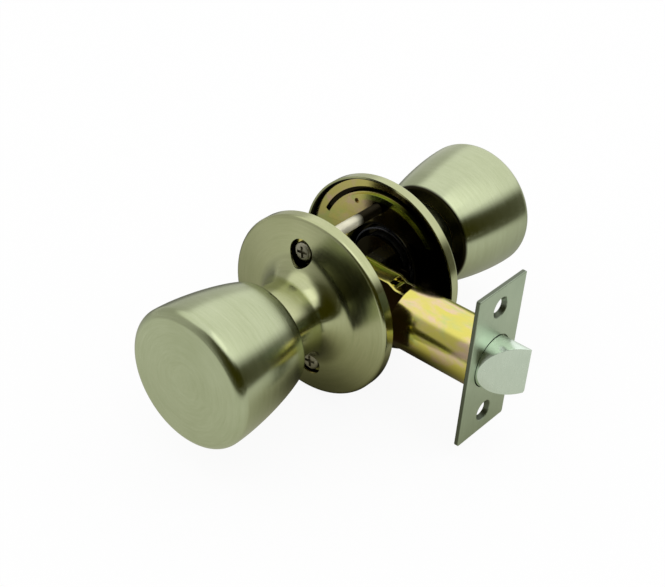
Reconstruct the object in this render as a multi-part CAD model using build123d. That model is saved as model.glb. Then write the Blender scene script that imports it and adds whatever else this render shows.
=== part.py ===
from build123d import *
import os
from math import cos, hypot, radians, sin, tan

# Passage door set: two knobs on trumpet roses and a tubular spring latch, in millimetres.
# The spindle lies along Y, the latch bolt points along +X, and Z is up.
# The origin is on the spindle axis, midway between the two roses.

# Door
door_gap = 32.0             # from the rim of one rose to the rim of the other
backset = 60.3              # spindle axis to the outer face of the faceplate
screw_spacing = 41.3        # between the two mounting screws
rose_turn = -9.0            # degrees that the roses are turned on the latch

# Rose, spun from sheet; heights are measured from the door face
rose_radius = 32.5
rose_rim_height = 4.1
rose_face_slope = 0.125     # rise of the face for each millimetre towards the neck
rose_edge_radius = 1.3
rose_wall = 0.9
flare_radius = 8.5
neck_radius = 13.3
access_hole_gap = 1.35      # around the screw's head

# Knob, a hollow spun shell
knob_gap = 26.6             # door face to the knob's rear edge
knob_length = 34.9
knob_rear_radius = 18.8
knob_front_radius = 24.0
knob_taper = 17.8           # degrees, at the rear edge
knob_rear_edge_radius = 1.4
knob_edge_radius = 3.4
knob_wall = 1.1
knob_lip_clearance = 0.6    # lip to neck

# Knob shank and what holds it in the neck
bush_wall = 2.4             # from the shank to the neck
shank_wall = 1.4
shank_flange_gap = 0.7      # inside the knob's shell
shank_flange_wall = 1.5
bush_length = 11.6
bush_flange_wall = 0.5
end_play = 0.3
ring_wall = 1.0
ring_neck_gap = 0.5
ring_groove_depth = 0.6
ring_opening = 50.0         # degrees

# Mounting plate and spring cup
plate_rim_clearance = 0.7   # inside the rose's rim
plate_rim_width = 2.9       # outside the arc slots
plate_wall = 0.9
plate_slot_width = 1.7
plate_slot_arc = 118.0      # degrees
cup_edge_gap = 0.7          # ears to arc slots
cup_ear_height = 11.5       # the ears start this far above and below the axis
cup_collar_width = 1.5
cup_cam_gap = 0.8           # around the cam's ears
cup_spring_gap = 0.15       # beyond the spring's last turn
cup_wall = 0.8
cup_bend_radius = 1.0
dimple_radius = 0.9
dimple_inset = 2.3          # from the edge of the ear
dimple_angle = 22.0

# Drive cam and return spring
cam_height = 0.9
cam_wall = 1.4
cam_rim = 0.4               # beyond the shank
cam_ear_radius = 13.4
cam_ear_width = 5.0
cam_boss_length = 7.5
return_spring_inset = 2.0   # from the cup's bore to the middle of the wire
return_spring_wire = 0.9
return_spring_pitch = 1.02
return_spring_turns = 2.5
return_spring_leg = 4.0

# Spindle and screws
spindle_side = 6.35
spindle_end = 10.2          # beyond the cam's boss
screw_radius = 2.05
screw_head_radius = 3.4
screw_head_height = 1.8
screw_end = 0.8             # beyond the back plate
cross_recess_length = 4.2
cross_recess_width = 1.0
cross_recess_depth = 1.1

# Latch faceplate and tube
faceplate_width = 25.4
faceplate_height = 57.15
faceplate_wall = 1.6
faceplate_corner_radius = 0.6
faceplate_hole_radius = 2.5
countersink_radius = 3.9
bolt_hole_gap = 0.35
tube_radius = 11.0
tube_wall = 1.0
tube_end_land = 1.8         # between the slit and the tube's open end
slit_width = 1.8
slit_end_room = 1.7         # beyond the bolt's lug at rest
slit_start_room = 0.4       # beyond the lug at the end of its travel
notch_length = 1.3
notch_height = 5.0
notch_angle = 30.0          # degrees below the tube's middle

# Latch bolt
bolt_throw = 11.2
bolt_tube_gap = 0.3
bolt_flange_step = 0.6      # beyond the bolt's round
bolt_flange_length = 7.5
bolt_stop_gap = 0.2
bolt_flat = 4.0             # the flat back, along Y
bolt_tip_width = 0.9
bevel_start = 0.7           # the bevel's low edge, beyond the faceplate
bolt_bore_gap = 0.2         # around the rod's head
bolt_shoulder = 1.5
lug_side_gap = 0.3
lug_length = 2.4
lug_sink = 0.3              # below the outside of the tube

# Latch case
case_wall = 1.0
case_half_width = 2.8       # inside
case_tube_step = 0.3        # beyond the tube
case_rear = 14.0
case_front = 19.6
case_neck_start = 22.6
case_neck_drop = 1.5
case_tongue_gap = 1.0       # inside the tube
case_tongue_length = 1.6
case_corner_radius = 3.0
rivet_radius = 1.1
rivet_head_radius = 2.0
rivet_head_height = 0.6
rivet_inset = 1.8
rivet_height = 7.0

# Hub, retractor and tail rod
hub_radius = 5.8
trunnion_radius = 5.2
trunnion_length = 1.6
wing_lean = 38.0            # degrees forward of upright
wing_nose_radius = 0.9
wing_root_width = 2.2
wing_relief = 0.35
wing_clearance = 0.3
fork_prong_height = 3.5
fork_case_gap = 0.4         # below the top of the case
fork_side_gap = 0.5
fork_rear = 1.5
fork_wall = 1.0
fork_front = 22.2
fork_front_wall = 1.2
lug_wall = 1.5
lug_inset = 0.5             # from the prong's inner edge
rod_radius = 1.2
rod_head_radius = 2.0
rod_head_length = 1.5
bolt_spring_gap = 0.25      # around the rod
bolt_spring_wire = 0.7
bolt_spring_turns = 11

# Clearances
running = 0.05
loose = 0.1

# Places that follow from the sizes above
screw_reach = screw_spacing / 2
access_hole_radius = screw_head_radius + access_hole_gap
rose_face_cosine = 1 / hypot(1, rose_face_slope)
neck_corner_height = rose_rim_height + (rose_radius - neck_radius) * rose_face_slope
knob_seat = knob_gap + knob_wall
neck_end = knob_seat - end_play - bush_flange_wall
neck_bore_radius = neck_radius - rose_wall
shank_radius = neck_bore_radius - bush_wall
ring_radius = neck_bore_radius - ring_neck_gap
shank_flange_radius = knob_rear_radius - knob_wall - shank_flange_gap
plate_radius = rose_radius - rose_wall - plate_rim_clearance
plate_slot_outer = plate_radius - plate_rim_width
plate_slot_inner = plate_slot_outer - plate_slot_width
cup_flange_radius = plate_slot_inner - cup_edge_gap
plate_edge_height = rose_rim_height + (rose_radius - plate_radius) * rose_face_slope
plate_back = plate_edge_height - rose_wall / rose_face_cosine - loose
plate_front = plate_back - plate_wall
cup_front = plate_front - cup_wall
cam_seat = cam_height + cam_wall
cam_radius = shank_radius + cam_rim
cup_bore_radius = cam_ear_radius + cup_cam_gap
cup_collar_radius = cup_bore_radius + cup_wall + cup_bend_radius + cup_collar_width
return_spring_radius = cup_bore_radius - return_spring_inset
return_spring_start = cam_seat + return_spring_wire / 2 + 3 * loose
return_spring_end = return_spring_start + return_spring_pitch * return_spring_turns + return_spring_wire / 2
cup_bottom_height = return_spring_end + cup_spring_gap
ring_start = neck_end - bush_length - loose - ring_wall
spindle_hole = spindle_side + 2 * running
spindle_reach = door_gap / 2 + cam_seat + cam_boss_length + spindle_end
faceplate_back = backset - faceplate_wall
bolt_tip = backset + bolt_throw
bolt_flange_radius = tube_radius - tube_wall - bolt_tube_gap
bolt_radius = bolt_flange_radius - bolt_flange_step
bolt_hole_radius = bolt_radius + bolt_hole_gap
bolt_bore_radius = rod_head_radius + bolt_bore_gap
bolt_flange_front = faceplate_back - bolt_stop_gap
bolt_rear = bolt_flange_front - bolt_flange_length
lug_start = bolt_rear + loose
lug_width = slit_width - 2 * lug_side_gap
lug_reach = tube_radius - lug_sink
slit_start = lug_start - 2 * bolt_throw - slit_start_room
slit_end = lug_start + lug_length + slit_end_room
tube_start = slit_start - tube_end_land
case_outer_width = case_half_width + case_wall
case_outer_height = tube_radius + case_tube_step
case_half_height = case_outer_height - case_wall
case_neck_height = case_outer_height - case_neck_drop
case_tongue_end = tube_start + case_tongue_length
case_tongue_height = tube_radius - tube_wall - case_tongue_gap
rivet_x = rivet_inset - case_rear
fork_outer_height = case_half_height - fork_case_gap
fork_inner_height = fork_outer_height - fork_prong_height
fork_gap = case_half_width - fork_side_gap - fork_wall
lug_inner_height = fork_inner_height + lug_inset
wing_half_width = fork_gap - wing_clearance
wing_reach = case_half_height - wing_nose_radius - wing_clearance
bolt_spring_radius = rod_radius + bolt_spring_wire / 2 + bolt_spring_gap
lug_front = wing_reach * sin(radians(wing_lean)) - wing_nose_radius - wing_clearance
rod_head_start = bolt_rear + bolt_shoulder + loose

side_places = {
    "front": Location((0, -door_gap / 2, 0), (0, 0, 180)),
    "back": Location((0, door_gap / 2, 0)),
}
rose_place = Rot(0, rose_turn, 0)
along_y = Rot(-90, 0, 0)    # turns a solid made along Z to point along Y
along_x = Rot(0, 90, 0)     # turns a solid made along Z to point along X


def spun_sheet(path, radii, wall):
    """Sheet metal turned about Y; the wall lies to the left of the path (radius, height)."""
    points = [Vector(*point) for point in path]
    runs = [(after - before).normalized() for before, after in zip(points, points[1:])]
    lefts = [Vector(-run.Y, run.X) for run in runs]
    far_points = [points[0] + lefts[0] * wall]
    far_radii = []
    for place, radius in enumerate(radii):
        miter = (lefts[place] + lefts[place + 1]) / (1 + lefts[place].dot(lefts[place + 1]))
        far_points.append(points[place + 1] + miter * wall)
        turns_left = runs[place].cross(runs[place + 1]).Z > 0
        far_radii.append(max(radius - wall, 0) if turns_left else radius + wall)
    far_points.append(points[-1] + lefts[-1] * wall)
    outline = points + far_points[::-1]
    corner_radii = [0, *radii, 0, 0, *far_radii[::-1], 0]
    return revolve(make_face(FilletPolyline(*outline, radius=corner_radii, close=True)), Axis.Y)


def turned(outline):
    """Solid of revolution about Y from (radius, height) points."""
    return revolve(make_face(Polyline(*outline, close=True)), Axis.Y)


def y_cylinder(radius, start, end, x=0, z=0):
    """Cylinder along Y between two heights."""
    solid = extrude(Circle(radius), end - start)
    return Pos(x, start, z) * along_y * solid


def x_cylinder(radius, start, end):
    """Cylinder on the X axis between two places."""
    return Pos(start, 0, 0) * along_x * extrude(Circle(radius), end - start)


def block(low, high):
    """Box between two corners."""
    size = [b - a for a, b in zip(low, high)]
    return Pos(*low) * Box(*size, align=(Align.MIN, Align.MIN, Align.MIN))


def upright(sketch, start, end):
    """Plate cut to a sketch drawn in X and Z, between two places along Y."""
    return extrude(Pos(0, start, 0) * Rot(90, 0, 0) * sketch, end - start, dir=(0, 1, 0))


def coil(radius, wire, pitch, turns, leg=0.0):
    """Wire wound about Z from the origin, with straight legs that leave along the tangent."""
    helix = Helix(pitch, pitch * turns, radius)
    edges = [helix]
    if leg:
        start_leg = Line(helix @ 0 - (helix % 0) * leg, helix @ 0)
        end_leg = Line(helix @ 1, helix @ 1 + (helix % 1) * leg)
        edges = [start_leg, helix, end_leg]
    path = Wire([edge for part in edges for edge in part.edges()])
    section = Plane(origin=path @ 0, z_dir=path % 0) * Circle(wire / 2)
    return sweep(section, path)


def knob():
    """Tulip shell: lip, swelling side, rounded edge and flat end."""
    swell = (knob_front_radius - knob_rear_radius) / tan(radians(knob_taper))
    end = knob_gap + knob_length
    slant = swell / cos(radians(knob_taper))
    rear_tangent = knob_rear_edge_radius * tan(radians(90 - knob_taper) / 2)
    side_tangent = min(slant - rear_tangent, knob_length - swell - knob_edge_radius) - loose
    side_radius = side_tangent / tan(radians(knob_taper) / 2)
    path = [
        (neck_radius + knob_lip_clearance, knob_gap),
        (knob_rear_radius, knob_gap),
        (knob_front_radius, knob_gap + swell),
        (knob_front_radius, end),
        (0, end),
    ]
    return spun_sheet(path, [knob_rear_edge_radius, side_radius, knob_edge_radius], knob_wall)


def knob_shank():
    """Tube with a flange inside the knob's lip and a groove for the retaining ring."""
    bore = shank_radius - shank_wall
    start = cam_seat + loose
    flange_end = knob_seat + shank_flange_wall
    shank = turned([
        (bore, start), (shank_radius, start), (shank_radius, knob_seat),
        (shank_flange_radius, knob_seat), (shank_flange_radius, flange_end), (bore, flange_end),
    ])
    groove_radius = shank_radius - ring_groove_depth
    groove_start = ring_start - running
    groove_end = ring_start + ring_wall + running
    groove = turned([
        (groove_radius, groove_start), (shank_radius + 1, groove_start),
        (shank_radius + 1, groove_end), (groove_radius, groove_end),
    ])
    return shank - groove


def neck_bush():
    """Flanged sleeve pressed into the end of the neck."""
    bore = shank_radius + running
    outside = neck_bore_radius - running / 2
    start = neck_end - bush_length
    flange_end = neck_end + bush_flange_wall
    return turned([
        (bore, start), (outside, start), (outside, neck_end),
        (neck_radius, neck_end), (neck_radius, flange_end), (bore, flange_end),
    ])


def retaining_ring():
    """Open snap ring in the shank's groove."""
    inside = shank_radius - ring_groove_depth + running
    ring = y_cylinder(ring_radius, ring_start, ring_start + ring_wall)
    ring -= y_cylinder(inside, ring_start, ring_start + ring_wall)
    half_opening = ring_radius * tan(radians(ring_opening / 2))
    wedge = make_face(Polyline((0, 0), (2 * ring_radius, 2 * half_opening),
                               (2 * ring_radius, -2 * half_opening), close=True))
    return ring - upright(wedge, ring_start, ring_start + ring_wall)


def screw_holes(radius, start, end):
    """Pair of holes on the screw circle."""
    pair = [y_cylinder(radius, start, end, z=z) for z in (-screw_reach, screw_reach)]
    return Part() + pair


def rose(has_access_holes):
    """Trumpet rose: rim, coned face, flare and neck in one sheet."""
    path = [
        (rose_radius, 0),
        (rose_radius, rose_rim_height),
        (neck_radius, neck_corner_height),
        (neck_radius, neck_end),
    ]
    solid = spun_sheet(path, [rose_edge_radius, flare_radius], rose_wall)
    if has_access_holes:
        solid -= screw_holes(access_hole_radius, 0, neck_end)
    return solid


def arc_slot(inner, outer, arc, start, end):
    """Ring sector about Y, centred on +Z."""
    sector = Circle(outer) - Circle(inner)
    reach = 2 * outer
    half_arc = radians(arc / 2)
    right = (reach * sin(half_arc), reach * cos(half_arc))
    left = (-right[0], right[1])
    corners = [(0, 0), left, (-reach, 2 * reach), (reach, 2 * reach), right]
    wedge = make_face(Polyline(*corners, close=True))
    return upright(sector & wedge, start, end)


def mounting_plate(screw_hole_radius):
    """Stamped plate behind the rose's face, with two arc slots and the screw holes."""
    plate = y_cylinder(plate_radius, plate_front, plate_back)
    plate -= y_cylinder(cup_bore_radius + cup_wall + cup_bend_radius + loose, plate_front, plate_back)
    slot = arc_slot(plate_slot_inner, plate_slot_outer, plate_slot_arc, plate_front, plate_back)
    plate -= slot
    plate -= Rot(0, 180, 0) * slot
    return plate - screw_holes(screw_hole_radius, plate_front, plate_back)


def spring_cup():
    """Pressed cup whose flange is cut down to a collar and two ears."""
    path = [
        (shank_radius + 2 * loose, cup_bottom_height),
        (cup_bore_radius, cup_bottom_height),
        (cup_bore_radius, cup_front),
        (cup_flange_radius, cup_front),
    ]
    cup = spun_sheet(path, [cup_bend_radius, cup_wall + cup_bend_radius], cup_wall)
    waste = upright(Rectangle(3 * cup_flange_radius, 2 * cup_ear_height), cup_front, plate_front)
    cup -= waste - y_cylinder(cup_collar_radius, cup_front, plate_front)
    cup -= screw_holes(screw_radius + 3 * loose, cup_front, plate_front)
    for angle in (dimple_angle, dimple_angle + 180):
        dimple = y_cylinder(dimple_radius, cup_front, plate_front, z=cup_flange_radius - dimple_inset)
        cup -= Rot(0, -angle, 0) * dimple
    return cup


def drive_cam():
    """Cam on the shank's end: a disc with two ears, a boss and a square hole."""
    outline = Circle(cam_radius) + Rectangle(2 * cam_ear_radius, cam_ear_width) & Circle(cam_ear_radius)
    cam = upright(outline, cam_height, cam_seat)
    cam += y_cylinder(shank_radius - shank_wall - loose, cam_seat, cam_seat + cam_boss_length)
    hole = upright(Rectangle(spindle_hole, spindle_hole), cam_height, cam_seat + cam_boss_length)
    return cam - hole


def return_spring():
    """Torsion coil in the cup, clear of the cam's ears."""
    spring = coil(return_spring_radius, return_spring_wire, return_spring_pitch,
                  return_spring_turns, return_spring_leg)
    return Pos(0, return_spring_start, 0) * along_y * spring


def mounting_screws():
    """Two pan-head screws from the front plate to the back plate."""
    seat = -door_gap / 2 - plate_back
    end = door_gap / 2 + plate_back + screw_end
    top = seat - screw_head_height
    screws = []
    for z in (-screw_reach, screw_reach):
        head = y_cylinder(screw_head_radius, top, seat, z=z)
        head = fillet(head.edges().filter_by(GeomType.CIRCLE).sort_by(Axis.Y)[0], screw_head_height / 2)
        screw = head + y_cylinder(screw_radius, seat, end, z=z)
        cross = Rectangle(cross_recess_length, cross_recess_width)
        cross += Rectangle(cross_recess_width, cross_recess_length)
        screw -= Pos(0, 0, z) * upright(cross, top, top + cross_recess_depth)
        screws.append(screw)
    return screws


def spindle():
    """Square bar through both cams and the hub."""
    return upright(Rectangle(spindle_side, spindle_side), -spindle_reach, spindle_reach)


def latch_faceplate():
    """Flat plate with the bolt's hole and two countersunk screw holes."""
    outline = RectangleRounded(faceplate_height, faceplate_width, faceplate_corner_radius)
    plate = Pos(faceplate_back, 0, 0) * along_x * extrude(outline, faceplate_wall)
    plate -= x_cylinder(bolt_hole_radius, faceplate_back, backset)
    depth = countersink_radius - faceplate_hole_radius
    sink = extrude(Circle(faceplate_hole_radius), faceplate_wall)
    sink += Pos(0, 0, faceplate_wall - depth / 2) * Cone(faceplate_hole_radius, countersink_radius, depth)
    for z in (-screw_reach, screw_reach):
        plate -= Pos(faceplate_back, 0, z) * along_x * sink
    return plate


def latch_tube():
    """Tube behind the faceplate, with a guide slit and two staking notches."""
    tube = x_cylinder(tube_radius, tube_start, faceplate_back)
    tube -= x_cylinder(tube_radius - tube_wall, tube_start, faceplate_back)
    tube -= block((slit_start, 0, -slit_width / 2), (slit_end, 2 * tube_radius, slit_width / 2))
    notch = block((faceplate_back - notch_length, -2 * tube_radius, -notch_height / 2),
                  (faceplate_back, 0, notch_height / 2))
    for turn in (notch_angle, notch_angle + 180):
        tube -= Rot(turn, 0, 0) * notch
    return tube


def latch_bolt():
    """Spring bolt: D section, bevelled nose, guide flange with a lug, and a bore for the rod."""
    bolt = x_cylinder(bolt_radius, bolt_rear, bolt_tip)
    reach = 2 * bolt_radius
    bolt -= block((bolt_rear, bolt_flat, -reach), (bolt_tip, reach, reach))
    bevel_low = backset + bevel_start
    bevel = make_face(Polyline((bevel_low, -bolt_radius), (bolt_tip, bolt_flat - bolt_tip_width),
                               (bolt_tip, -reach), (bevel_low, -reach), close=True))
    bolt -= extrude(Pos(0, 0, -reach) * bevel, 2 * reach)
    bolt += x_cylinder(bolt_flange_radius, bolt_rear, bolt_flange_front)
    bolt += block((lug_start, 0, -lug_width / 2), (lug_start + lug_length, lug_reach, lug_width / 2))
    bolt -= x_cylinder(rod_radius + loose, bolt_rear, bolt_rear + bolt_shoulder)
    bore_end = rod_head_start + rod_head_length + bolt_throw + 2 * loose
    return bolt - x_cylinder(bolt_bore_radius, bolt_rear + bolt_shoulder, bore_end)


def case_outline():
    """Side of the latch case, with the tongue that enters the tube."""
    upper = [
        (-case_rear, case_outer_height),
        (case_front, case_outer_height),
        (case_neck_start, case_neck_height),
        (tube_start - 3 * loose, case_neck_height),
        (tube_start - 3 * loose, case_tongue_height),
        (case_tongue_end, case_tongue_height),
    ]
    lower = [(x, -z) for x, z in reversed(upper)]
    radii = [case_corner_radius] + [0] * (2 * len(upper) - 2) + [case_corner_radius]
    side = make_face(FilletPolyline(*upper, *lower, radius=radii, close=True))
    side -= Circle(trunnion_radius + running)
    for z in (-rivet_height, rivet_height):
        side -= Pos(rivet_x, z) * Circle(rivet_radius + running)
    return side


def case_channel():
    """Side wall with its top and bottom flanges."""
    channel = upright(case_outline(), -case_outer_width, -case_half_width)
    for low in (-case_outer_height, case_half_height):
        channel += block((case_corner_radius - case_rear, -case_half_width, low),
                         (case_front, case_half_width, low + case_wall))
    return channel


def case_cover():
    """Flat side that closes the channel."""
    return upright(case_outline(), case_half_width, case_outer_width)


def case_rivets():
    """Two rivets that hold the cover on the channel."""
    head_end = case_outer_width + rivet_head_height
    rivets = []
    for z in (-rivet_height, rivet_height):
        rivet = y_cylinder(rivet_radius, -head_end, head_end, rivet_x, z)
        rivet += y_cylinder(rivet_head_radius, -head_end, -case_outer_width, rivet_x, z)
        rivet += y_cylinder(rivet_head_radius, case_outer_width, head_end, rivet_x, z)
        rivets.append(rivet)
    return rivets


def latch_hub():
    """Hub with trunnions, a square hole and two wings that pull the retractor back."""
    width = case_half_width - loose
    trunnion_end = width + trunnion_length
    hub = y_cylinder(hub_radius, -width, width) + y_cylinder(trunnion_radius, -trunnion_end, trunnion_end)
    arm = make_face(Polyline((-wing_relief, 0), (-wing_relief, wing_reach), (wing_nose_radius, wing_reach),
                             (wing_root_width, hub_radius), (wing_root_width, 0), close=True))
    wing = arm + Pos(0, wing_reach) * Circle(wing_nose_radius)
    upper = upright(Rot(0, 0, -wing_lean) * wing, -wing_half_width, wing_half_width)
    hub += upper + mirror(upper, Plane.XY)
    return hub - upright(Rectangle(spindle_hole, spindle_hole), -trunnion_end, trunnion_end)


def retractor():
    """Fork with four prongs, two lugs that the wings push on, and a front wall."""
    width = fork_gap + fork_wall
    inner_front = fork_front - fork_front_wall
    fork = block((inner_front, -width, -fork_outer_height), (fork_front, width, fork_outer_height))
    for low in (-fork_outer_height, fork_inner_height):
        high = low + fork_outer_height - fork_inner_height
        for y in (-width, fork_gap):
            fork += block((fork_rear, y, low), (inner_front, y + fork_wall, high))
    for low in (-fork_outer_height, lug_inner_height):
        high = low + fork_outer_height - lug_inner_height
        fork += block((lug_front - lug_wall, -width, low), (lug_front, width, high))
    return fork - x_cylinder(rod_radius + running, inner_front, fork_front)


def tail_rod():
    """Headed rod from the retractor into the bolt's bore."""
    inner_front = fork_front - fork_front_wall
    rod = x_cylinder(rod_radius, inner_front, rod_head_start)
    rod += x_cylinder(rod_head_radius, inner_front - fork_wall, inner_front)
    return rod + x_cylinder(rod_head_radius, rod_head_start, rod_head_start + rod_head_length)


def bolt_spring():
    """Compression coil on the rod, between the retractor and the bolt."""
    start = fork_front + bolt_spring_wire / 2 + loose
    end = bolt_rear - bolt_spring_wire / 2 - loose
    pitch = (end - start) / bolt_spring_turns
    spring = coil(bolt_spring_radius, bolt_spring_wire, pitch, bolt_spring_turns)
    return Pos(start, 0, 0) * along_x * spring


os.makedirs("parts", exist_ok=True)
nodes = {}
for side, place in side_places.items():
    is_front = side == "front"
    plate_hole = screw_radius + (2 * loose if is_front else running)
    nodes[side + "_knob"] = place * knob()
    nodes[side + "_knob_shank"] = place * knob_shank()
    nodes[side + "_neck_bush"] = place * neck_bush()
    nodes[side + "_retaining_ring"] = place * retaining_ring()
    nodes[side + "_rose"] = rose_place * place * rose(is_front)
    nodes[side + "_mounting_plate"] = rose_place * place * mounting_plate(plate_hole)
    nodes[side + "_spring_cup"] = rose_place * place * spring_cup()
    nodes[side + "_drive_cam"] = place * drive_cam()
    nodes[side + "_return_spring"] = place * return_spring()
nodes["mounting_screws"] = Compound(children=[rose_place * screw for screw in mounting_screws()])
nodes["spindle"] = spindle()
nodes["latch_faceplate"] = latch_faceplate()
nodes["latch_tube"] = latch_tube()
nodes["latch_bolt"] = latch_bolt()
nodes["case_channel"] = case_channel()
nodes["case_cover"] = case_cover()
nodes["case_rivets"] = Compound(children=case_rivets())
nodes["latch_hub"] = latch_hub()
nodes["retractor"] = retractor()
nodes["tail_rod"] = tail_rod()
nodes["bolt_spring"] = bolt_spring()
for name, solid in nodes.items():
    export_step(solid, f"parts/{name}.step")
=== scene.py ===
import math

import bmesh
import bpy
from mathutils import Matrix, Quaternion, Vector


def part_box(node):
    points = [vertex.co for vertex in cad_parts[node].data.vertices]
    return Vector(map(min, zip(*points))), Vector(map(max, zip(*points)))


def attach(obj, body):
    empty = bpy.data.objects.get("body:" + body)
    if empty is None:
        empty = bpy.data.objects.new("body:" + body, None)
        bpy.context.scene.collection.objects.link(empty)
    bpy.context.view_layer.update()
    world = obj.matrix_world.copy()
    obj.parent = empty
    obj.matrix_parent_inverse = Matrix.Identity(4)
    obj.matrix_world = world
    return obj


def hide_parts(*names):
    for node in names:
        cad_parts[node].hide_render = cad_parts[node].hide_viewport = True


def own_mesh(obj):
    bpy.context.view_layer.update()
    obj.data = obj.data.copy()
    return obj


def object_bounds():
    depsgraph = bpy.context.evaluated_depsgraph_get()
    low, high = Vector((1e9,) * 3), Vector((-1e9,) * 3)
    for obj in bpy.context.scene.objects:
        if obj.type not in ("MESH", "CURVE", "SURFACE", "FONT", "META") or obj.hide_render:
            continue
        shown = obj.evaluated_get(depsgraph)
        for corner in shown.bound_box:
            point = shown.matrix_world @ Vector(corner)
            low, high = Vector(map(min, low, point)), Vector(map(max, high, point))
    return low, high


# Passage door set: brushed knobs on trumpet roses, and a zinc plated spring latch between them.
# The spindle lies along Y, the bolt points along +X, Z is up. Metres throughout.

mm = 0.001
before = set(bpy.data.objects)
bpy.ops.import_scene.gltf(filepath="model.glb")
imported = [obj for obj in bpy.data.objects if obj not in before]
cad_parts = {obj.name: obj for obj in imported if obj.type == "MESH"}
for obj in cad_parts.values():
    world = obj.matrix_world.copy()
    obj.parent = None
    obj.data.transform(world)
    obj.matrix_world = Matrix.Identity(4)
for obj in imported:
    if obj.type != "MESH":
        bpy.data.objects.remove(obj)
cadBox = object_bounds()
scene = bpy.context.scene
scene.view_settings.view_transform = "Standard"
print("frame loaded with", len(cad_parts), "nodes")


# Camera and lamps

viewPoint = {
    "azimuth": 37.6, "elevation": 34.9, "roll": 4.8,    # degrees
    "distance": 460 * mm,
    "target": (-2.13 * mm, -4.6 * mm, -3.37 * mm),
    "lens": 73.19, "sensor": 36.0,                      # in millimetres, as Blender has them
    "clip": 10 * mm,
}


def makeCamera():
    azimuth, elevation, roll = (math.radians(viewPoint[k]) for k in ("azimuth", "elevation", "roll"))
    back = Vector((math.sin(azimuth) * math.cos(elevation),
                   -math.cos(azimuth) * math.cos(elevation),
                   math.sin(elevation)))
    data = bpy.data.cameras.new("camera")
    data.lens = viewPoint["lens"]
    data.sensor_width = viewPoint["sensor"]
    data.clip_start = viewPoint["clip"]
    camera = bpy.data.objects.new("camera", data)
    scene.collection.objects.link(camera)
    camera.location = Vector(viewPoint["target"]) + back * viewPoint["distance"]
    camera.rotation_mode = "QUATERNION"
    camera.rotation_quaternion = (-back).to_track_quat("-Z", "Y") @ Quaternion((0, 0, 1), roll)
    scene.camera = camera


lamps = {
    "keyLamp": {"from": (0.34, 0.06, 0.94), "away": 0.80, "size": 0.44, "power": 0.17},
    "softBox": {"from": (0.46, 0.16, 0.87), "away": 1.10, "size": 1.00, "power": 0.60},
}


def makeLamps():
    for name, lamp in lamps.items():
        data = bpy.data.lights.new(name, "AREA")
        data.shape = "SQUARE"
        data.size = lamp["size"]
        data.energy = lamp["power"]
        light = bpy.data.objects.new(name, data)
        scene.collection.objects.link(light)
        toward = Vector(lamp["from"]).normalized()
        light.location = toward * lamp["away"]
        light.rotation_mode = "QUATERNION"
        light.rotation_quaternion = toward.to_track_quat("Z", "Y")


# Shader node helpers

# where the sum of one, two or three noises mostly lies
noiseRange = {1: (0.3, 0.7), 2: (0.7, 1.3), 3: (1.1, 1.9)}


def addNode(tree, kind, inputs=None, **settings):
    node = tree.nodes.new(kind)
    for key, value in settings.items():
        setattr(node, key, value)
    for key, value in (inputs or {}).items():
        if isinstance(value, bpy.types.NodeSocket):
            tree.links.new(value, node.inputs[key])
        else:
            node.inputs[key].default_value = value
    return node


def calc(tree, operation, *values):
    return addNode(tree, "ShaderNodeMath", dict(enumerate(values)), operation=operation).outputs[0]


def vectorCalc(tree, operation, *values):
    node = addNode(tree, "ShaderNodeVectorMath", dict(enumerate(values)), operation=operation)
    return node.outputs["Value" if operation == "LENGTH" else "Vector"]


def objectPlace(tree):
    return addNode(tree, "ShaderNodeTexCoord").outputs["Object"]


def splitPlace(tree, place):
    return addNode(tree, "ShaderNodeSeparateXYZ", {0: place}).outputs


def blendColor(tree, factor, first, second, mode="MIX"):
    # sockets 6 and 7 take the mix node's colours, and 2 gives the result
    node = addNode(tree, "ShaderNodeMix", {"Factor": factor, 6: first, 7: second}, data_type="RGBA",
                   blend_type=mode)
    return node.outputs[2]


def spread(tree, value, low, high, source=noiseRange[1]):
    # low to high while the value runs over the source range
    node = addNode(tree, "ShaderNodeMapRange", {"Value": value, "From Min": source[0], "From Max": source[1],
                                                "To Min": low, "To Max": high})
    return node.outputs[0]


def fadeOver(tree, value, first, last):
    # 0 at the first value and 1 at the last, with a soft start and end
    node = addNode(tree, "ShaderNodeMapRange", {"Value": value, "From Min": first, "From Max": last},
                   interpolation_type="SMOOTHSTEP")
    return node.outputs[0]


def colorStops(tree, value, stops):
    # stops are (place from 0 to 1, colour)
    ramp = addNode(tree, "ShaderNodeValToRGB", {"Fac": value})
    elements = ramp.color_ramp.elements
    for place, color in stops:
        stop = elements[0] if place == 0 else elements[-1] if place == 1 else elements.new(place)
        stop.color = (*color, 1)
    return ramp.outputs["Color"]


# World and floor

studio = {
    "skyFill": 0.94,            # world strength for diffuse light
    "floorDrop": 1.5 * mm,      # below the lowest rim
    "floorSize": 8.0,
    "floorGlow": 0.92,          # share of plain white, the rest holds the shadow
    "floorColor": (0.98, 0.98, 0.98, 1),
}


def backgroundRay(tree):
    # 1 where the camera, metal or glass looks at the background
    path = addNode(tree, "ShaderNodeLightPath").outputs
    shiny = calc(tree, "MAXIMUM", path["Is Glossy Ray"], path["Is Transmission Ray"])
    return calc(tree, "MAXIMUM", path["Is Camera Ray"], shiny)


def makeWorld():
    world = bpy.data.worlds.new("studio")
    scene.world = world
    world.use_nodes = True
    tree = world.node_tree
    tree.nodes.clear()
    strength = addNode(tree, "ShaderNodeMapRange",
                       {"Value": backgroundRay(tree), "To Min": studio["skyFill"]})
    sky = addNode(tree, "ShaderNodeBackground", {"Color": (1, 1, 1, 1), "Strength": strength.outputs[0]})
    addNode(tree, "ShaderNodeOutputWorld", {"Surface": sky.outputs[0]})


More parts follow.
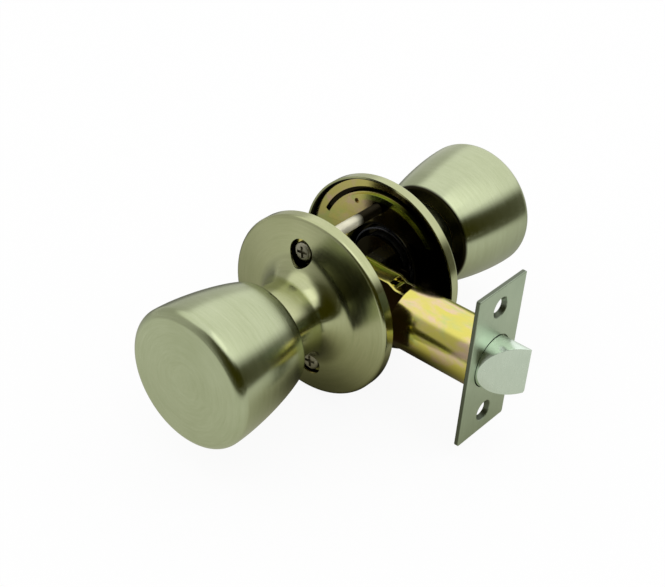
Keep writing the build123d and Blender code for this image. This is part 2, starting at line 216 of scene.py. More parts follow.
def makeFloor():
    bm = bmesh.new()
    bmesh.ops.create_grid(bm, x_segments=1, y_segments=1, size=studio["floorSize"] / 2)
    bmesh.ops.translate(bm, verts=bm.verts, vec=(0, 0, cadBox[0].z - studio["floorDrop"]))
    material = bpy.data.materials.new("paleFloor")
    material.use_nodes = True
    tree = material.node_tree
    tree.nodes.clear()
    matt = addNode(tree, "ShaderNodeBsdfDiffuse", {"Color": studio["floorColor"]})
    glow = addNode(tree, "ShaderNodeEmission", {"Color": (1, 1, 1, 1), "Strength": 1.0})
    share = calc(tree, "MULTIPLY", backgroundRay(tree), studio["floorGlow"])
    mix = addNode(tree, "ShaderNodeMixShader", {0: share, 1: matt.outputs[0], 2: glow.outputs[0]})
    addNode(tree, "ShaderNodeOutputMaterial", {"Surface": mix.outputs[0]})
    floor = looseObject(bm, "floor")
    floor.data.materials.append(material)


# Boards that only polished metal sees: the dim room round the table, the table, and the front rose's dark

room = {
    "radius": 1.6, "steps": 96,
    "lowest": -26, "highest": 72,                   # degrees of elevation
    # bearing from +X, tone of the wall there, and the height in degrees at which it gives way to the sky
    "wall": [(-180, 0.42, 36), (-150, 0.50, 38), (-125, 0.46, 46), (-102, 0.26, 60), (-80, 0.04, 62),
             (-50, 0.0, 57), (-10, 0.0, 47), (18, 0.0, 38), (34, 0.03, 28), (52, 0.11, 20), (70, 0.32, 11),
             (90, 0.70, 5), (120, 0.75, 8), (145, 0.52, 34), (180, 0.42, 36)],
    "fade": 9, "fall": (-5, -23),                   # degrees over which it fades into the sky and the table
    "dark": (0.035, 0.032, 0.0), "light": (1.0, 1.0, 0.97),
    "sky": (1.0, 1.0, 0.98, 1), "table": (0.57, 0.58, 0.53, 1),
}


def boardMaterial(name):
    # a plain glow, and the socket that takes its colour
    material = bpy.data.materials.new(name)
    material.use_nodes = True
    tree = material.node_tree
    tree.nodes.clear()
    glow = addNode(tree, "ShaderNodeEmission", {"Color": (1, 1, 1, 1), "Strength": 1.0})
    addNode(tree, "ShaderNodeOutputMaterial", {"Surface": glow.outputs[0]})
    return material, glow.inputs["Color"]


def addBoard(bm, name, material):
    board = looseObject(bm, name)
    board.data.materials.append(material)
    for kind in ("camera", "diffuse", "transmission", "shadow", "volume_scatter"):
        setattr(board, "visible_" + kind, False)


def between(first, second, share):
    return [a + (b - a) * share for a, b in zip(first, second)]


def bearingShare(tree, place):
    # place round the Z axis, 0 to 1 from -X by way of -Y
    parts = splitPlace(tree, place)
    bearing = calc(tree, "ARCTAN2", parts["Y"], parts["X"])
    return spread(tree, bearing, 0.0, 1.0, (-math.pi, math.pi))


def bearingStops(rows):
    # the same share for rows of (degrees, colour)
    return [((degrees + 180) / 360, color) for degrees, color in rows]


def wallTone(tree, share):
    rows = [(degrees, between(room["dark"], room["light"], tone)) for degrees, tone, top in room["wall"]]
    return colorStops(tree, share, bearingStops(rows))


def makeRoom():
    bm = bmesh.new()
    low, high = (room["radius"] * math.tan(math.radians(room[k])) for k in ("lowest", "highest"))
    ends = [bm.verts.new((room["radius"], 0, height)) for height in (low, high)]
    bm.edges.new(ends)
    spinRound(bm, room["steps"], (0, 0, 1))
    material, color = boardMaterial("dimRoom")
    tree = material.node_tree
    place = objectPlace(tree)
    share = bearingShare(tree, place)
    tops = [(degrees, [math.radians(top)] * 3) for degrees, tone, top in room["wall"]]
    height = calc(tree, "ARCTAN2", splitPlace(tree, place)["Z"], room["radius"])
    above = calc(tree, "SUBTRACT", height, colorStops(tree, share, bearingStops(tops)))
    fade = math.radians(room["fade"])
    upper = blendColor(tree, fadeOver(tree, above, -fade, fade), wallTone(tree, share), room["sky"])
    first, last = (math.radians(degrees) for degrees in room["fall"])
    whole = blendColor(tree, fadeOver(tree, height, first, last), upper, room["table"])
    tree.links.new(whole, color)
    addBoard(bm, "roomBoard", material)


table = {
    "drop": 0.7 * mm, "size": 2.4, "middle": (8 * mm, 0, 0), "squeeze": (0.8, 1, 0), "reach": 150 * mm,
    # tone of the table from under the set, in its shade, out to the clear
    "tones": [(0, 0.02), (0.11, 0.02), (0.19, 0.12), (0.27, 0.30), (0.37, 0.43), (0.50, 0.55),
              (0.73, 0.62), (1, 0.66)],
    "shade": (1.0, 0.93, 0.55), "clear": (0.99, 1.0, 0.93),
    # bearing from +X and the share of light there, then the distances over which it takes on the wall's tone
    "sides": [(-180, 0.3), (-150, 0.7), (-125, 1.0), (45, 1.0), (75, 0.7), (105, 0.45), (150, 0.3),
              (180, 0.3)],
    "far": (150 * mm, 320 * mm),
}


def makeTable():
    bm = bmesh.new()
    bmesh.ops.create_grid(bm, x_segments=1, y_segments=1, size=table["size"] / 2)
    bmesh.ops.translate(bm, verts=bm.verts, vec=(0, 0, cadBox[0].z - table["drop"]))
    material, color = boardMaterial("shadedTable")
    tree = material.node_tree
    place = objectPlace(tree)
    share = bearingShare(tree, place)
    shifted = vectorCalc(tree, "SUBTRACT", place, table["middle"])
    reach = vectorCalc(tree, "LENGTH", vectorCalc(tree, "MULTIPLY", shifted, table["squeeze"]))
    brightest = table["tones"][-1][1]
    stops = [(where, [tone * part for part in between(table["shade"], table["clear"], tone / brightest)])
             for where, tone in table["tones"]]
    near = colorStops(tree, spread(tree, reach, 0.0, 1.0, (0.0, table["reach"])), stops)
    sideLight = [(degrees, [part] * 3) for degrees, part in table["sides"]]
    lit = blendColor(tree, 1.0, near, colorStops(tree, share, bearingStops(sideLight)), "MULTIPLY")
    whole = blendColor(tree, fadeOver(tree, reach, *table["far"]), lit, wallTone(tree, share))
    tree.links.new(whole, color)
    addBoard(bm, "tableBoard", material)


gapShade = {
    "radius": 31.5 * mm, "inset": 0.6 * mm, "thickness": 0.05 * mm, "steps": 96,
    "tone": (0.008, 0.005, 0.002, 1),
}


def makeGapShade():
    bm = cylinder(gapShade["radius"], 0, gapShade["thickness"], (0, 1, 0), gapShade["steps"])
    bmesh.ops.translate(bm, verts=bm.verts, vec=(0, -doorFace + gapShade["inset"], 0))
    material, color = boardMaterial("gapShade")
    color.default_value = gapShade["tone"]
    addBoard(bm, "gapBoard", material)


# Patterns that several finishes share

def newGroup(name, inputs, outputs):
    tree = bpy.data.node_groups.new(name, "ShaderNodeTree")
    for socket, kind, value in inputs:
        made = tree.interface.new_socket(socket, in_out="INPUT", socket_type=kind)
        made.default_value = value
    for socket, kind in outputs:
        tree.interface.new_socket(socket, in_out="OUTPUT", socket_type=kind)
    start = addNode(tree, "NodeGroupInput")
    end = addNode(tree, "NodeGroupOutput")
    return tree, start.outputs, end.inputs


ringLook = {
    "pitch": 4200.0, "smear": 5.0,          # detail across and along the brushing
    "scales": {"Lines": 1.0, "Rings": 0.27},
    "detail": 3.0, "roughness": 0.65, "cloudScale": 70.0,
}


def ringBrushGroup():
    # fine lines that run round the Y axis, and a soft cloud
    tree, given, result = newGroup(
        "ringBrush",
        [("Pitch", "NodeSocketFloat", ringLook["pitch"]), ("Smear", "NodeSocketFloat", ringLook["smear"]),
         ("Cloud Scale", "NodeSocketFloat", ringLook["cloudScale"])],
        [("Lines", "NodeSocketFloat"), ("Rings", "NodeSocketFloat"), ("Cloud", "NodeSocketFloat")])
    place = objectPlace(tree)
    parts = splitPlace(tree, place)
    flat = addNode(tree, "ShaderNodeCombineXYZ", {"X": parts["X"], "Z": parts["Z"]}).outputs[0]
    spoke = vectorCalc(tree, "NORMALIZE", flat)
    smear = addNode(tree, "ShaderNodeVectorMath", {0: spoke, "Scale": given["Smear"]}, operation="SCALE")
    along = calc(tree, "MULTIPLY", parts["Y"], given["Pitch"])
    lift = addNode(tree, "ShaderNodeCombineXYZ", {"Y": along})
    where = vectorCalc(tree, "ADD", smear.outputs[0], lift.outputs[0])
    across = calc(tree, "MULTIPLY", vectorCalc(tree, "LENGTH", flat), given["Pitch"])
    for name, scale in ringLook["scales"].items():
        noise = addNode(tree, "ShaderNodeTexNoise",
                        {"Vector": where, "W": across, "Scale": scale, "Detail": ringLook["detail"],
                         "Roughness": ringLook["roughness"]}, noise_dimensions="4D")
        tree.links.new(noise.outputs["Fac"], result[name])
    cloud = addNode(tree, "ShaderNodeTexNoise",
                    {"Vector": place, "Scale": given["Cloud Scale"], "Detail": ringLook["detail"]})
    tree.links.new(cloud.outputs["Fac"], result["Cloud"])
    return tree


grainLook = {"fineness": (3000.0, 3000.0, 120.0), "detail": 3.0, "cloudScale": 90.0}


def straightGrainGroup():
    # fine lines along one axis, and a soft cloud
    tree, given, result = newGroup(
        "straightGrain",
        [("Fineness", "NodeSocketVector", grainLook["fineness"]),
         ("Cloud Scale", "NodeSocketFloat", grainLook["cloudScale"])],
        [("Lines", "NodeSocketFloat"), ("Cloud", "NodeSocketFloat")])
    place = objectPlace(tree)
    drawn = vectorCalc(tree, "MULTIPLY", place, given["Fineness"])
    for name, where, scale in (("Lines", drawn, 1.0), ("Cloud", place, given["Cloud Scale"])):
        noise = addNode(tree, "ShaderNodeTexNoise",
                        {"Vector": where, "Scale": scale, "Detail": grainLook["detail"]})
        tree.links.new(noise.outputs["Fac"], result[name])
    return tree


tintLook = {
    "ground": (0.7, 0.62, 0.2, 1), "warm": (0.78, 0.55, 0.42, 1), "cool": (0.45, 0.62, 0.2, 1),
    "patches": (130.0, 130.0, 130.0), "detail": 4.0, "distortion": 0.5,
    "shift": (31.0, 17.0, 23.0),            # keeps the cool patches apart from the warm ones
    "warmRange": (0.42, 0.70), "coolRange": (0.50, 0.76),
}


def platingTintGroup():
    # patches of two tints on a ground colour, as passivated zinc shows
    tree, given, result = newGroup(
        "platingTint",
        [("Ground", "NodeSocketColor", tintLook["ground"]), ("Warm", "NodeSocketColor", tintLook["warm"]),
         ("Cool", "NodeSocketColor", tintLook["cool"]), ("Patches", "NodeSocketVector", tintLook["patches"])],
        [("Color", "NodeSocketColor"), ("Mask", "NodeSocketFloat")])
    sized = vectorCalc(tree, "MULTIPLY", objectPlace(tree), given["Patches"])
    shifted = vectorCalc(tree, "ADD", sized, tintLook["shift"])
    warmNoise, coolNoise = (
        addNode(tree, "ShaderNodeTexNoise", {"Vector": where, "Scale": 1.0, "Detail": tintLook["detail"],
                                             "Distortion": tintLook["distortion"]}).outputs["Fac"]
        for where in (sized, shifted))
    warmMask = fadeOver(tree, warmNoise, *tintLook["warmRange"])
    coolMask = fadeOver(tree, coolNoise, *tintLook["coolRange"])
    warmed = blendColor(tree, warmMask, given["Ground"], given["Warm"])
    tree.links.new(blendColor(tree, coolMask, warmed, given["Cool"]), result["Color"])
    tree.links.new(warmNoise, result["Mask"])
    return tree


ringBrush = ringBrushGroup()
straightGrain = straightGrainGroup()
platingTint = platingTintGroup()


# Finishes

shadeAndDirtTone = (0.022, 0.019, 0.010, 1)         # painted shade inside the set, behind the knobs, inside the roses and on the faceplate's edges and holes; also the screws' random dirt
shadeEdges = {
    # over which each part of painted shade fades out
    "knobRear": (0.5 * mm, 1.4 * mm),       # past a knob's rear face
    "roseFace": (-0.7 * mm, -0.5 * mm),     # from the outer face of a rose
    "roseRim": (-0.8 * mm, -0.6 * mm),      # from the edge of a rose
    "plateFace": (-0.35 * mm, -0.05 * mm),  # from the front of the faceplate
    "core": (0.0, 1.5 * mm),                # past the painted shade round the spindle
    "shadeStop": (0.0, 0.5 * mm),               # past the radius at which the painted shade stops
}
plateShadeShare = 0.72                            # share of painted shade on the faceplate's edges and in its holes
bumpStrength = 0.6
grainDepth = 0.004 * mm
platedGrain = (900.0, 900.0, 900.0)
quarterTurn = 0.25                          # spreads the shine across the brushing


def newMaterial(name, **shaderValues):
    material = bpy.data.materials.new(name)
    material.use_nodes = True
    tree = material.node_tree
    tree.nodes.clear()
    shader = addNode(tree, "ShaderNodeBsdfPrincipled", {"Metallic": 1.0, **shaderValues})
    addNode(tree, "ShaderNodeOutputMaterial", {"Surface": shader.outputs[0]})
    return material, tree, shader


def placeGroup(tree, group, **values):
    return addNode(tree, "ShaderNodeGroup", values, node_tree=group).outputs


def feed(tree, shader, color, roughness, height, depth=grainDepth):
    bump = addNode(tree, "ShaderNodeBump", {"Height": height, "Strength": bumpStrength, "Distance": depth})
    tree.links.new(color, shader.inputs["Base Color"])
    tree.links.new(roughness, shader.inputs["Roughness"])
    tree.links.new(bump.outputs[0], shader.inputs["Normal"])


def roundAxis(tree):
    # place along X, distance from the middle along the spindle, and distance from the spindle
    parts = splitPlace(tree, objectPlace(tree))
    flat = addNode(tree, "ShaderNodeCombineXYZ", {"X": parts["X"], "Z": parts["Z"]})
    return {"x": parts["X"], "away": calc(tree, "ABSOLUTE", parts["Y"]),
            "reach": vectorCalc(tree, "LENGTH", flat.outputs[0])}


def upTo(tree, value, limit, edge):
    # 1 below the limit and 0 above it
    return spread(tree, value, 1.0, 0.0, [limit + step for step in shadeEdges[edge]])


def rearShadeMask(tree):
    # painted shade on the face behind a knob
    return upTo(tree, roundAxis(tree)["away"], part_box("back_knob")[0].y, "knobRear")


# the form of a rose, which its finish needs too
roseShape = {
    "radius": 32.5 * mm, "rimHeight": 4.1 * mm, "slope": 0.125, "edge": 1.3 * mm, "edgeSteps": 8,
    "flare": 8.5 * mm, "flareSteps": 24, "neckRadius": 13.3 * mm, "wall": 0.9 * mm, "steps": 240,
    "holeRadius": 4.75 * mm, "holeSteps": 72, "holeEdge": 0.22 * mm, "holeAngle": 40, "holeSlack": 0.03 * mm,
}


def roseInsideShade(tree):
    # painted shade under the cone of a rose, short of its rim
    axis = roundAxis(tree)
    slope, radius = roseShape["slope"], roseShape["radius"]
    sunk = calc(tree, "MULTIPLY_ADD", axis["reach"], slope, -radius * slope)
    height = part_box("back_rose")[0].y + roseShape["rimHeight"]
    under = upTo(tree, calc(tree, "ADD", axis["away"], sunk), height, "roseFace")
    return calc(tree, "MULTIPLY", under, upTo(tree, axis["reach"], radius, "roseRim"))


def ringBrushed(name, dark, light, smooth, rough, pull, depth, shadeMask):
    # turned and brushed round the spindle's axis
    material, tree, shader = newMaterial(name, Anisotropic=pull)
    shader.inputs["Anisotropic Rotation"].default_value = quarterTurn
    brush = placeGroup(tree, ringBrush, Pitch=ringLook["pitch"], Smear=ringLook["smear"])
    lines = calc(tree, "ADD", brush["Lines"], brush["Rings"])
    tone = calc(tree, "ADD", lines, brush["Cloud"])
    color = blendColor(tree, spread(tree, tone, 0.0, 1.0, noiseRange[3]), dark, light)
    # painted shade where the mask is set
    color = blendColor(tree, shadeMask(tree), color, shadeAndDirtTone)
    feed(tree, shader, color, spread(tree, lines, smooth, rough, noiseRange[2]), lines, depth)
    turn = addNode(tree, "ShaderNodeTangent", direction_type="RADIAL", axis="Y")
    tree.links.new(turn.outputs[0], shader.inputs["Tangent"])
    return material


def straightBrushed(name, dark, light, smooth, rough, fineness, unshadedFace=None):
    material, tree, shader = newMaterial(name)
    grain = placeGroup(tree, straightGrain, Fineness=fineness)
    tone = calc(tree, "ADD", grain["Lines"], grain["Cloud"])
    color = blendColor(tree, spread(tree, tone, 0.0, 1.0, noiseRange[2]), dark, light)
    if unshadedFace:
        # painted shade on the edges and sunk holes, which lie below the face at this x
        plateShade = calc(tree, "MULTIPLY", upTo(tree, roundAxis(tree)["x"], unshadedFace, "plateFace"), plateShadeShare)
        color = blendColor(tree, plateShade, color, shadeAndDirtTone)
    feed(tree, shader, color, spread(tree, grain["Lines"], smooth, rough), grain["Lines"])
    return material


def plated(name, ground, warm, cool, smooth, rough, patch):
    material, tree, shader = newMaterial(name)
    tint = placeGroup(tree, platingTint, Ground=ground, Warm=warm, Cool=cool, Patches=patch)
    grain = placeGroup(tree, straightGrain, Fineness=platedGrain)
    feed(tree, shader, tint["Color"], spread(tree, tint["Mask"], smooth, rough), grain["Lines"])
    return material


shadedPlatingLook = {
    "smooth": 0.12, "rough": 0.20,
    "rimHighlightSide": (-11 * mm, -4 * mm), "rimHighlightTone": (0.44, 0.60, 0.13, 1),   # painted highlight tint on one side of the rim, along X
}


def shadedPlating(name, ground, warm, cool, latchEdge, core, rim):
    # plated, with painted shade over the latch side and round the spindle that stops short of the rim, and a
    # painted highlight tint on one side of the rim
    material, tree, shader = newMaterial(name)
    tint = placeGroup(tree, platingTint, Ground=ground, Warm=warm, Cool=cool, Patches=tintLook["patches"])
    grain = placeGroup(tree, straightGrain, Fineness=platedGrain)
    axis = roundAxis(tree)
    latchShade = spread(tree, axis["x"], 0.0, 1.0, latchEdge)
    middle = upTo(tree, axis["reach"], core, "core")
    insideRim = upTo(tree, axis["reach"], rim, "shadeStop")
    paintedShade = calc(tree, "MULTIPLY", calc(tree, "MAXIMUM", latchShade, middle), insideRim)
    rimHighlightSide = spread(tree, axis["x"], 0.0, 1.0, shadedPlatingLook["rimHighlightSide"])
    rimHighlight = calc(tree, "MULTIPLY", calc(tree, "SUBTRACT", 1.0, insideRim), rimHighlightSide)
    color = blendColor(tree, rimHighlight, tint["Color"], shadedPlatingLook["rimHighlightTone"])
    # painted shade over the latch side and round the spindle
    color = blendColor(tree, paintedShade, color, shadeAndDirtTone)
    roughness = spread(tree, tint["Mask"], shadedPlatingLook["smooth"], shadedPlatingLook["rough"])
    feed(tree, shader, color, roughness, grain["Lines"])
    return material


screwLook = {
    # share of the length, colour, metal; the pale shank colour is painted light and the dark thread colour
    # painted shade
    "zones": [(0, (0.50, 0.48, 0.38), 1), (0.05, (0.40, 0.38, 0.29), 1), (0.07, (1.0, 0.96, 0.74), 0.45),
              (0.63, (1.0, 0.96, 0.74), 0.45), (0.72, (0.03, 0.025, 0.015), 1), (1, (0.03, 0.025, 0.015), 1)],
    "fineness": (1200.0, 300.0, 1200.0), "dirt": 0.3, "smooth": 0.34, "rough": 0.48, "depth": 0.002 * mm,
}


def screwFinish():
    # darker heads, shanks painted pale as lit and threads painted dark as shade, by the place along the screw
    material, tree, shader = newMaterial("screwZinc")
    low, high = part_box("mounting_screws")
    share = spread(tree, splitPlace(tree, objectPlace(tree))["Y"], 0.0, 1.0, (low.y, high.y))
    zones = colorStops(tree, share, [(where, color) for where, color, metal in screwLook["zones"]])
    metals = colorStops(tree, share, [(where, [metal] * 3) for where, color, metal in screwLook["zones"]])
    tree.links.new(metals, shader.inputs["Metallic"])
    grain = placeGroup(tree, straightGrain, Fineness=screwLook["fineness"])
    color = blendColor(tree, spread(tree, grain["Cloud"], 0.0, screwLook["dirt"]), zones, shadeAndDirtTone)
    roughness = spread(tree, grain["Lines"], screwLook["smooth"], screwLook["rough"])
    feed(tree, shader, color, roughness, grain["Lines"], screwLook["depth"])
    return material


satinNickel = ringBrushed("satinNickel", (0.48, 0.53, 0.325, 1), (0.57, 0.62, 0.41, 1), 0.17, 0.25, 0.45,
                          0.0016 * mm, rearShadeMask)
roseNickel = ringBrushed("roseNickel", (0.48, 0.51, 0.28, 1), (0.57, 0.59, 0.35, 1), 0.16, 0.23, 0.60,
                         0.0012 * mm, roseInsideShade)
paleNickel = straightBrushed("paleNickel", (0.49, 0.59, 0.44, 1), (0.58, 0.68, 0.52, 1), 0.30, 0.40,
                             (2600.0, 2600.0, 160.0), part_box("latch_faceplate")[1].x)
# painted light: the bolt's nickel is made far brighter than the faceplate's, for the light on it
litBoltNickel = straightBrushed("litBoltNickel", (0.77, 0.89, 0.78, 1), (0.85, 0.97, 0.86, 1), 0.20, 0.28,
                             (2200.0, 300.0, 300.0))
yellowZinc = plated("yellowZinc", (0.70, 0.63, 0.17, 1), (0.80, 0.60, 0.38, 1), (0.56, 0.62, 0.20, 1),
                    0.12, 0.20, tintLook["patches"])
# the plates' painted shade has no rim to stop at, so its radius lies outside them
plateZinc = shadedPlating("plateZinc", (0.74, 0.66, 0.22, 1), (0.82, 0.60, 0.42, 1), (0.58, 0.66, 0.22, 1),
                    (0.0, 9 * mm), 5 * mm, 60 * mm)
cupZinc = shadedPlating("cupZinc", (0.74, 0.67, 0.22, 1), (0.82, 0.62, 0.42, 1), (0.55, 0.68, 0.20, 1),
                  (-9 * mm, -4 * mm), 13.5 * mm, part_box("back_spring_cup")[1].x - 1.1 * mm)
tubeZinc = plated("tubeZinc", (0.80, 0.72, 0.17, 1), (0.86, 0.64, 0.46, 1), (0.66, 0.70, 0.24, 1),
                  0.12, 0.20, (110.0, 240.0, 240.0))
screwZinc = screwFinish()
brightZinc = plated("brightZinc", (0.66, 0.66, 0.50, 1), (0.72, 0.66, 0.52, 1), (0.60, 0.66, 0.52, 1),
                    0.20, 0.32, (200.0, 200.0, 200.0))
plainSteel = straightBrushed("plainSteel", (0.30, 0.30, 0.29, 1), (0.44, 0.44, 0.42, 1), 0.30, 0.45,
                             (2000.0, 200.0, 2000.0))
springSteel = straightBrushed("springSteel", (0.05, 0.055, 0.07, 1), (0.12, 0.125, 0.15, 1), 0.22, 0.36,
                              (1500.0, 1500.0, 1500.0))
bushBronze = straightBrushed("bushBronze", (0.42, 0.31, 0.13, 1), (0.56, 0.43, 0.20, 1), 0.35, 0.55,
                             (1800.0, 1800.0, 1800.0))
print("finishes ready")


# Mesh helpers

weldReach = 0.0005 * mm
cutPast = 1 * mm            # cutters run this far past what they cut


def looseObject(bm, name="blank"):
    mesh = bpy.data.meshes.new(name)
    bm.to_mesh(mesh)
    bm.free()
    thing = bpy.data.objects.new(name, mesh)
    scene.collection.objects.link(thing)
    return thing


def discard(thing):
    mesh = thing.data
    bpy.data.objects.remove(thing)
    bpy.data.meshes.remove(mesh)


def carve(bm, cutters, operation="DIFFERENCE"):
    blank = looseObject(bm)
    tools = [looseObject(cutter, "cutter") for cutter in cutters]
    for tool in tools:
        step = blank.modifiers.new("carve", "BOOLEAN")
        step.operation = operation
        step.object = tool
        step.solver = "EXACT"
    graph = bpy.context.evaluated_depsgraph_get()
    shaped = blank.evaluated_get(graph)
    result = bmesh.new()
    result.from_mesh(shaped.to_mesh())
    shaped.to_mesh_clear()
    for thing in [blank, *tools]:
        discard(thing)
    return result


def cornerCut(radius, before, corner, after):
    # length cut from each side of a corner that is rounded with this radius
    turn = (Vector(corner) - Vector(before)).angle(Vector(after) - Vector(corner))
    return radius * math.tan(turn / 2)


def wire(points, rounds, closed=False):
    # outline of (radius, height) points in the XY plane; rounds is {point: (radius, segments)}
    bm = bmesh.new()
    verts = [bm.verts.new((across, along, 0)) for across, along in points]
    for first, second in zip(verts, verts[1:]):
        bm.edges.new((first, second))
    if closed:
        bm.edges.new((verts[-1], verts[0]))
    count = len(points)
    for place, (radius, segments) in rounds.items():
        near = [points[(place + step) % count] for step in (-1, 0, 1)]
        bmesh.ops.bevel(bm, geom=[verts[place]], offset=cornerCut(radius, *near), offset_type="OFFSET",
                        affect="VERTICES", segments=segments, profile=0.5, material=-1)
    return bm


def spinRound(bm, steps, axis=(0, 1, 0)):
    bmesh.ops.spin(bm, geom=bm.verts[:] + bm.edges[:], cent=(0, 0, 0), axis=axis, dvec=(0, 0, 0),
                   angle=math.tau, steps=steps, use_merge=True, use_duplicate=False)
    bmesh.ops.remove_doubles(bm, verts=bm.verts, dist=weldReach)
    bmesh.ops.recalc_face_normals(bm, faces=bm.faces)
    return bm


def spunSheet(points, rounds, wall, steps):
    bm = spinRound(wire(points, rounds), steps)
    bmesh.ops.solidify(bm, geom=bm.faces[:], thickness=wall)
    return bm


def cylinder(radius, start, end, axis, steps, offset=(0, 0, 0)):
    bm = bmesh.new()
    bmesh.ops.create_cone(bm, cap_ends=True, segments=steps, radius1=radius, radius2=radius,
                          depth=end - start)
    bmesh.ops.translate(bm, verts=bm.verts, vec=(0, 0, (start + end) / 2))
    turn = Vector((0, 0, 1)).rotation_difference(Vector(axis)).to_matrix()
    bmesh.ops.rotate(bm, verts=bm.verts, cent=(0, 0, 0), matrix=turn)
    bmesh.ops.translate(bm, verts=bm.verts, vec=offset)
    return bm


def brick(low, high):
    bm = bmesh.new()
    bmesh.ops.create_cube(bm, size=1)
    bmesh.ops.scale(bm, verts=bm.verts, vec=[b - a for a, b in zip(low, high)])
    bmesh.ops.translate(bm, verts=bm.verts, vec=[(a + b) / 2 for a, b in zip(low, high)])
    return bm


def turnMesh(bm, degrees, axis):
    turn = Matrix.Rotation(math.radians(degrees), 3, axis)
    bmesh.ops.rotate(bm, verts=bm.verts, cent=(0, 0, 0), matrix=turn)
    return bm


def layAlongX(bm):
    # what was spun about the Y axis goes to the X axis
    return turnMesh(bm, -90, "Z")


def softenEdges(bm, width, angle=35, segments=2, wanted=None):
    limit = math.radians(angle)
    sharp = [e for e in bm.edges if len(e.link_faces) == 2 and e.calc_face_angle(0) > limit]
    if wanted:
        sharp = [e for e in sharp if wanted(e)]
    bmesh.ops.bevel(bm, geom=sharp, offset=width, offset_type="OFFSET", affect="EDGES", segments=segments,
                    profile=0.5, material=-1, clamp_overlap=True)
    return bm


def addPiece(bm, name, material, body, node, sharpAngle=20):
    mesh = bpy.data.meshes.new(name)
    bm.to_mesh(mesh)
    bm.free()
    mesh.polygons.foreach_set("use_smooth", [True] * len(mesh.polygons))
    mesh.set_sharp_from_angle(angle=math.radians(sharpAngle))
    mesh.materials.append(material)
    piece = bpy.data.objects.new(name, mesh)
    scene.collection.objects.link(piece)
    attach(piece, body)
    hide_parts(node)
    return piece


doorSides = ("front", "back")
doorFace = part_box("back_rose")[0].y     # from the middle of the door to each rose
roseTurn = -9.0                         # degrees that the roses are turned on the latch
screwReach = 20.65 * mm                 # spindle axis to each mounting screw


def toSide(bm, side):
    # a piece made outwards from a door face at y 0 goes to its own side
    if side == "front":
        turnMesh(bm, 180, "Z")
    shift = -doorFace if side == "front" else doorFace
    bmesh.ops.translate(bm, verts=bm.verts, vec=(0, shift, 0))
    return bm


# Knobs

knobShape = {
    "lipRadius": 13.9 * mm, "rearRadius": 18.8 * mm, "taper": 17.8,     # degrees
    "rearEdge": 1.4 * mm, "rearSteps": 8, "frontEdge": 3.4 * mm, "frontSteps": 14, "crown": 0.5 * mm,
    "sideSteps": 28, "sideGap": 0.1 * mm,       # left straight between the side's round and the front edge
    "wall": 1.1 * mm, "steps": 192,
}


def makeKnobs():
    shape = knobShape
    low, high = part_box("back_knob")
    rear, end = low.y - doorFace, high.y - doorFace
    radius = high.x
    taper = math.radians(shape["taper"])
    swell = (radius - shape["rearRadius"]) / math.tan(taper)
    points = [(shape["lipRadius"], rear), (shape["rearRadius"], rear), (radius, rear + swell),
              (radius, end - shape["crown"]), (0, end)]
    sideCut = end - shape["crown"] - rear - swell - shape["frontEdge"] - shape["sideGap"]
    sideRadius = sideCut / math.tan(taper / 2)
    rounds = {1: (shape["rearEdge"], shape["rearSteps"]), 2: (sideRadius, shape["sideSteps"]),
              3: (shape["frontEdge"], shape["frontSteps"])}
    for side in doorSides:
        bm = toSide(spunSheet(points, rounds, shape["wall"], shape["steps"]), side)
        addPiece(bm, side + "_knob_shell", satinNickel, "knob_set", side + "_knob")
    print("knobs made")


# Roses

def onHoleRim(edge):
    reaches = [math.hypot(v.co.x, abs(v.co.z) - screwReach) for v in edge.verts]
    return all(abs(reach - roseShape["holeRadius"]) < roseShape["holeSlack"] for reach in reaches)


def makeRoses():
    shape = roseShape
    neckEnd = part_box("back_rose")[1].y - doorFace
    radius = shape["radius"]
    corner = shape["rimHeight"] + (radius - shape["neckRadius"]) * shape["slope"]
    points = [(radius, 0), (radius, shape["rimHeight"]), (shape["neckRadius"], corner),
              (shape["neckRadius"], neckEnd)]
    rounds = {1: (shape["edge"], shape["edgeSteps"]), 2: (shape["flare"], shape["flareSteps"])}
    for side in doorSides:
        bm = spunSheet(points, rounds, shape["wall"], shape["steps"])
        if side == "front":
            holes = [cylinder(shape["holeRadius"], 0, neckEnd, (0, 1, 0), shape["holeSteps"], (0, 0, z))
                     for z in (-screwReach, screwReach)]
            bm = carve(bm, holes)
            softenEdges(bm, shape["holeEdge"], shape["holeAngle"], wanted=onHoleRim)
        bm = turnMesh(toSide(bm, side), roseTurn, "Y")
        addPiece(bm, side + "_rose_trumpet", roseNickel, "case", side + "_rose")
    print("roses made")


# Latch tube, faceplate and bolt

tubeShape = {
    "wall": 1.0 * mm, "edge": 0.2 * mm, "edgeSteps": 3, "slitStart": 28.3 * mm, "slitEnd": 55.2 * mm,
    "slitWidth": 1.8 * mm, "notchLength": 1.3 * mm, "notchHeight": 5.0 * mm,
    "notchTurn": 30, "sharpAngle": 10,          # degrees
    "steps": 160,
}


def makeTube():
    shape = tubeShape
    low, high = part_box("latch_tube")
    radius = high.z
    inside = radius - shape["wall"]
    points = [(inside, low.x), (radius, low.x), (radius, high.x), (inside, high.x)]
    edges = {corner: (shape["edge"], shape["edgeSteps"]) for corner in range(len(points))}
    bm = layAlongX(spinRound(wire(points, edges, closed=True), shape["steps"]))
    slitHalf, notchHalf = shape["slitWidth"] / 2, shape["notchHeight"] / 2
    cutters = [brick((shape["slitStart"], 0, -slitHalf), (shape["slitEnd"], 2 * radius, slitHalf))]
    for turn in (shape["notchTurn"], shape["notchTurn"] + 180):
        notch = brick((high.x - shape["notchLength"], -2 * radius, -notchHalf),
                      (high.x + cutPast, 0, notchHalf))
        cutters.append(turnMesh(notch, turn, "X"))
    bm = carve(bm, cutters)
    addPiece(bm, "latch_tube_barrel", tubeZinc, "case", "latch_tube", shape["sharpAngle"])
    print("tube made")


plateShape = {
    "corner": 0.6 * mm, "cornerSteps": 6, "edge": 0.22 * mm, "edgeAngle": 60,
    "holeReach": 20.65 * mm, "holeRadius": 2.5 * mm, "sinkRadius": 3.9 * mm, "holeSteps": 64,
    "boltHole": 9.45 * mm, "boltHoleSteps": 128,
}


